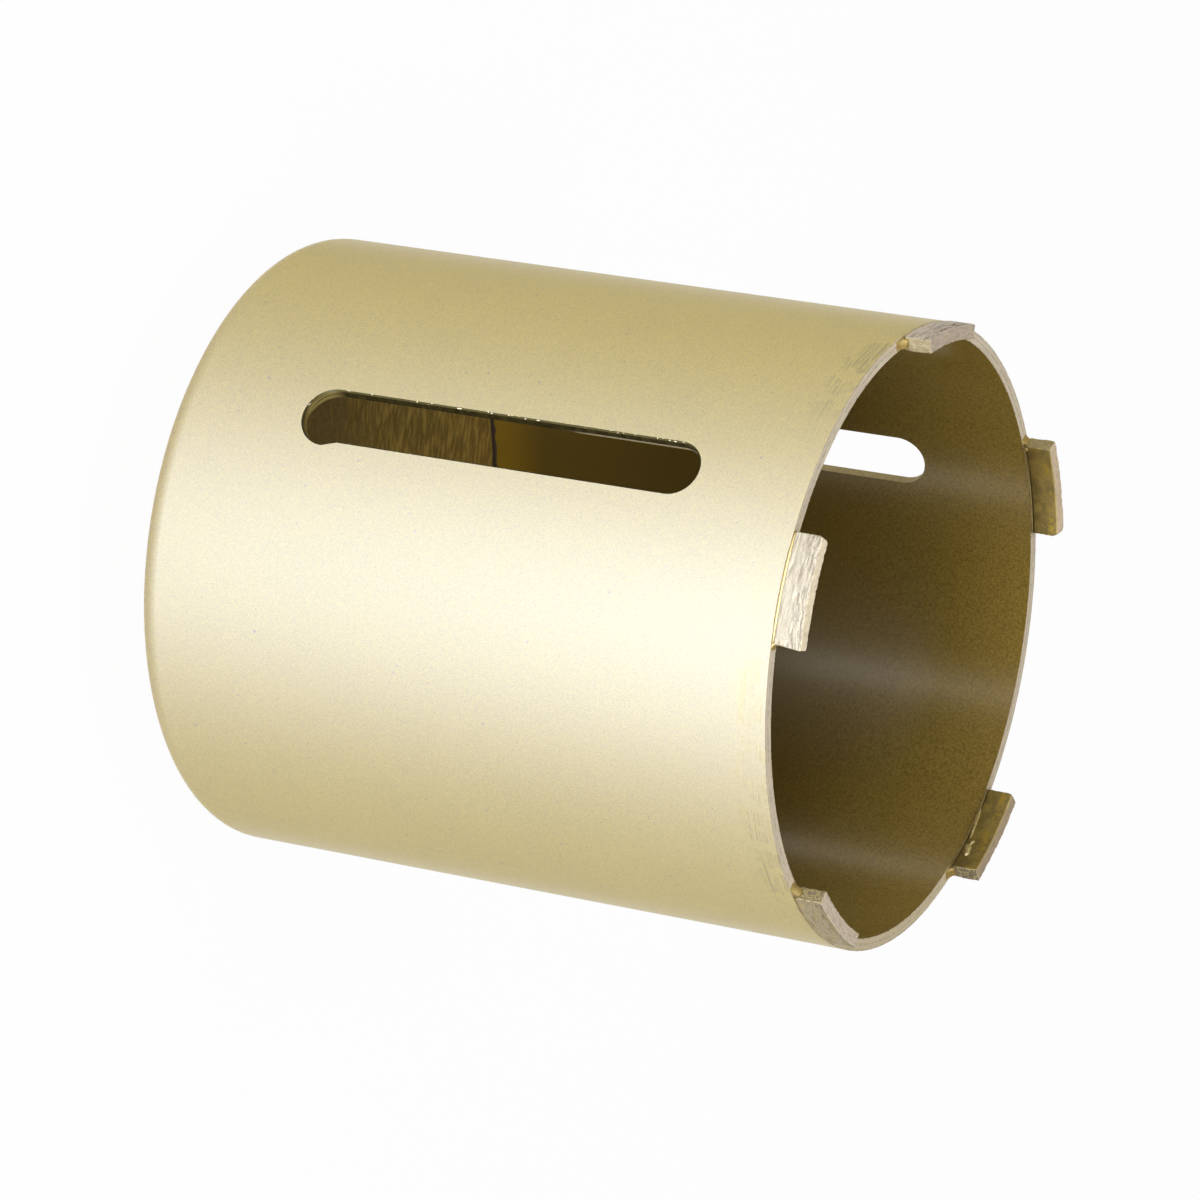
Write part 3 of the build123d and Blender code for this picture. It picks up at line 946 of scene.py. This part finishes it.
class COREBIT_OT_groups(bpy.types.Operator):
    """Build the node groups that several materials share"""
    bl_idname = "corebit.groups"
    bl_label = "Shared Effects"

    def execute(self, context):
        build_drum_group()
        build_coat_group()
        build_streak_group()
        build_turned_group()
        return {"FINISHED"}


class COREBIT_OT_barrel(bpy.types.Operator):
    """Paint the barrel and dress its rim"""
    bl_idname = "corebit.barrel"
    bl_label = "Barrel"

    def execute(self, context):
        paint = context.scene.core_bit_paint
        dress("barrel", barrel_material(paint))
        return {"FINISHED"}


class COREBIT_OT_plate(bpy.types.Operator):
    """Finish the back plate and its weld"""
    bl_idname = "corebit.plate"
    bl_label = "Back Plate"

    def execute(self, context):
        paint = context.scene.core_bit_paint
        dress("back_plate", plate_material(paint))
        dress("plate_weld", weld_material(paint))
        return {"FINISHED"}


class COREBIT_OT_seams(bpy.types.Operator):
    """Weld the segments to the rim, and lay the beads along the seams"""
    bl_idname = "corebit.seams"
    bl_label = "Seams"

    def execute(self, context):
        paint = context.scene.core_bit_paint
        run_material = seam_material(paint, "Seam Run", 0.4, 0.4)
        for number, (name, ends) in enumerate(zip(SEGMENTS, SEAM_ENDS), start=1):
            first, last, burning = ends
            material = seam_material(paint, f"Seam Coat {number}", burning, 0.0)
            weld = seam_skin(name, first, last)
            finish_piece(f"seam_{number}_weld", weld, material, f"seam_{number}")
            shape = NodeShape(name)
            stations = bead_stations(shape, OUTSIDE_BEAD, shape.outer - OUTSIDE_BEAD_INSET, number)
            finish_piece(f"seam_{number}_bead", bead_skin(stations), material)
            for index, run in enumerate(INSIDE_RUNS.get(number, ()), start=1):
                stations = bead_stations(shape, run, shape.inner, number + index)
                finish_piece(f"seam_{number}_run_{index}", bead_skin(stations), run_material)
        return {"FINISHED"}


class COREBIT_OT_segments(bpy.types.Operator):
    """Grind the five diamond segments"""
    bl_idname = "corebit.segments"
    bl_label = "Segments"

    def execute(self, context):
        wear, paint = context.scene.core_bit_wear, context.scene.core_bit_paint
        for number, (name, looks) in enumerate(zip(SEGMENTS, SEGMENT_LOOKS_AND_LIGHT), start=1):
            material = segment_material(paint, number, looks)
            slant = wear.slant if number == SLANTED_SEGMENT else 0.0
            finish_piece(f"{name}_ground", segment_skin(name, wear, number, slant), material, name)
        return {"FINISHED"}


class COREBIT_OT_hub(bpy.types.Operator):
    """Cut the hub's thread and lay its weld"""
    bl_idname = "corebit.hub"
    bl_label = "Hub"

    def execute(self, context):
        sizes, paint = context.scene.core_bit_hub, context.scene.core_bit_paint
        material = hub_material(paint)
        dress("hub", material)
        finish_piece("hub_thread", thread_skin(sizes), material)
        finish_piece("hub_weld_bead", hub_bead_skin(sizes), bpy.data.materials["Weld Coat"],
                     "hub_weld")
        return {"FINISHED"}


def soft_box(name, direction, distance, width, height, power, aim, tint=(1.0, 1.0, 1.0)):
    """Area lamp at an azimuth and elevation in degrees from the aim point, turned to it."""
    lamp = bpy.data.lights.new(name, "AREA")
    lamp.shape = "RECTANGLE"
    lamp.size = width
    lamp.size_y = height
    lamp.energy = power
    lamp.color = tint
    obj = bpy.data.objects.new(name, lamp)
    bpy.context.scene.collection.objects.link(obj)
    azimuth, elevation = (math.radians(value) for value in direction)
    out = Vector((math.cos(elevation) * math.cos(azimuth), math.cos(elevation) * math.sin(azimuth),
                  math.sin(elevation)))
    obj.location = aim + out * distance
    obj.rotation_euler = out.to_track_quat("Z", "Y").to_euler()
    return obj


class COREBIT_OT_studio(bpy.types.Operator):
    """Set the camera, lamps, floor and surroundings"""
    bl_idname = "corebit.studio"
    bl_label = "Studio"

    def execute(self, context):
        studio = context.scene.core_bit_studio
        scene = context.scene
        eye, target = Vector(studio.eye), Vector(studio.target)
        camera = bpy.data.objects.new("Camera", bpy.data.cameras.new("Camera"))
        scene.collection.objects.link(camera)
        camera.data.lens = studio.lens
        camera.data.sensor_width = SENSOR_MM
        camera.data.clip_end = FAR_CLIP
        look = (target - eye).to_track_quat("-Z", "Y").to_matrix().to_4x4()
        camera.matrix_world = Matrix.Translation(eye) @ look @ Matrix.Rotation(studio.roll, 4, "Z")
        scene.camera = camera

        floor = bpy.data.objects.new("Floor", self.floor_mesh(studio))
        scene.collection.objects.link(floor)
        floor.location.z = -FLOOR_GAP
        floor.data.materials.append(self.floor_material())

        world = bpy.data.worlds.new("Surroundings")
        scene.world = world
        tree = emptied_tree(world)
        light = put(tree, "ShaderNodeBackground", {0: (1.0, 1.0, 1.0), 1: studio.surroundings})
        put(tree, "ShaderNodeOutputWorld", {0: light})

        aim = Vector((0, 0, AIM_HEIGHT))
        soft_box("Left Softbox", (-115.0, 12), 1.0, 0.5, 0.4, studio.side, aim)
        soft_box("Right Softbox", (-9.0, 12), 1.0, 0.5, 0.4, studio.side, aim)
        soft_box("Top Softbox", (-66.6, 75), 1.2, 0.6, 0.6, studio.top, aim)
        sheen = soft_box("Sheen Lamp", (-59.0, -0.4), 2.0, 2.8, 0.14, studio.sheen, aim,
                         tuple(studio.sheen_tint))
        sheen.visible_diffuse = False
        scene.view_settings.view_transform = "Standard"
        return {"FINISHED"}

    def seen_directly(self, tree):
        """Mask of the rays that see the background itself or its reflection."""
        path = put(tree, "ShaderNodeLightPath")
        kinds = ("Is Camera Ray", "Is Glossy Ray", "Is Transmission Ray")
        return highest(tree, *(path.outputs[kind] for kind in kinds))

    def floor_mesh(self, studio):
        """Round floor with a low wall at its edge."""
        disc = bmesh.new()
        turns = [2 * math.pi * index / FLOOR_SIDES for index in range(FLOOR_SIDES)]
        edge, top = ([disc.verts.new(polar(turn, studio.floor_radius / MM, height / MM)) for turn in turns]
                     for height in (0.0, studio.wall_height))
        disc.faces.new(edge)
        for index in range(FLOOR_SIDES):
            disc.faces.new((edge[index], edge[index - 1], top[index - 1], top[index]))
        mesh = bpy.data.meshes.new("Floor")
        disc.to_mesh(mesh)
        disc.free()
        return mesh

    def floor_material(self):
        """Pale floor that takes shadows, and looks nearly white where it is seen directly."""
        material = bpy.data.materials.new("Floor White")
        tree = emptied_tree(material)
        pale = put(tree, "ShaderNodeBsdfDiffuse", {0: (0.82, 0.82, 0.82)})
        white = put(tree, "ShaderNodeEmission", {0: (1.0, 1.0, 1.0), 1: 1.0})
        whiteness = times(tree, self.seen_directly(tree), FLOOR_WHITENESS)
        mix = put(tree, "ShaderNodeMixShader", {0: whiteness, 1: pale, 2: white})
        put(tree, "ShaderNodeOutputMaterial", {0: mix})
        return material


class COREBIT_PT_panel(bpy.types.Panel):
    """Sidebar panel with the steps in order"""
    bl_idname = "COREBIT_PT_panel"
    bl_label = "Core Bit"
    bl_space_type = "VIEW_3D"
    bl_region_type = "UI"
    bl_category = "Core Bit"

    def draw(self, context):
        for step in STEPS:
            self.layout.operator(step.bl_idname)
        for holder_name in HOLDERS:
            holder = getattr(context.scene, holder_name)
            column = self.layout.column(align=True)
            for name in holder.__annotations__:
                column.prop(holder, name)


STEPS = (COREBIT_OT_groups, COREBIT_OT_barrel, COREBIT_OT_plate, COREBIT_OT_segments, COREBIT_OT_seams,
         COREBIT_OT_hub, COREBIT_OT_studio)
HOLDERS = {"core_bit_paint": CoreBitPaint, "core_bit_wear": CoreBitWear, "core_bit_hub": CoreBitHub,
           "core_bit_studio": CoreBitStudio}


def register():
    for kind in (*HOLDERS.values(), *STEPS, COREBIT_PT_panel):
        bpy.utils.register_class(kind)
    for name, kind in HOLDERS.items():
        setattr(bpy.types.Scene, name, PointerProperty(type=kind))


def unregister():
    for name in HOLDERS:
        delattr(bpy.types.Scene, name)
    for kind in reversed((*HOLDERS.values(), *STEPS, COREBIT_PT_panel)):
        bpy.utils.unregister_class(kind)


def main():
    register()
    for step in STEPS:
        area, name = step.bl_idname.split(".")
        getattr(getattr(bpy.ops, area), name)()


if __name__ == "__main__":
    main()
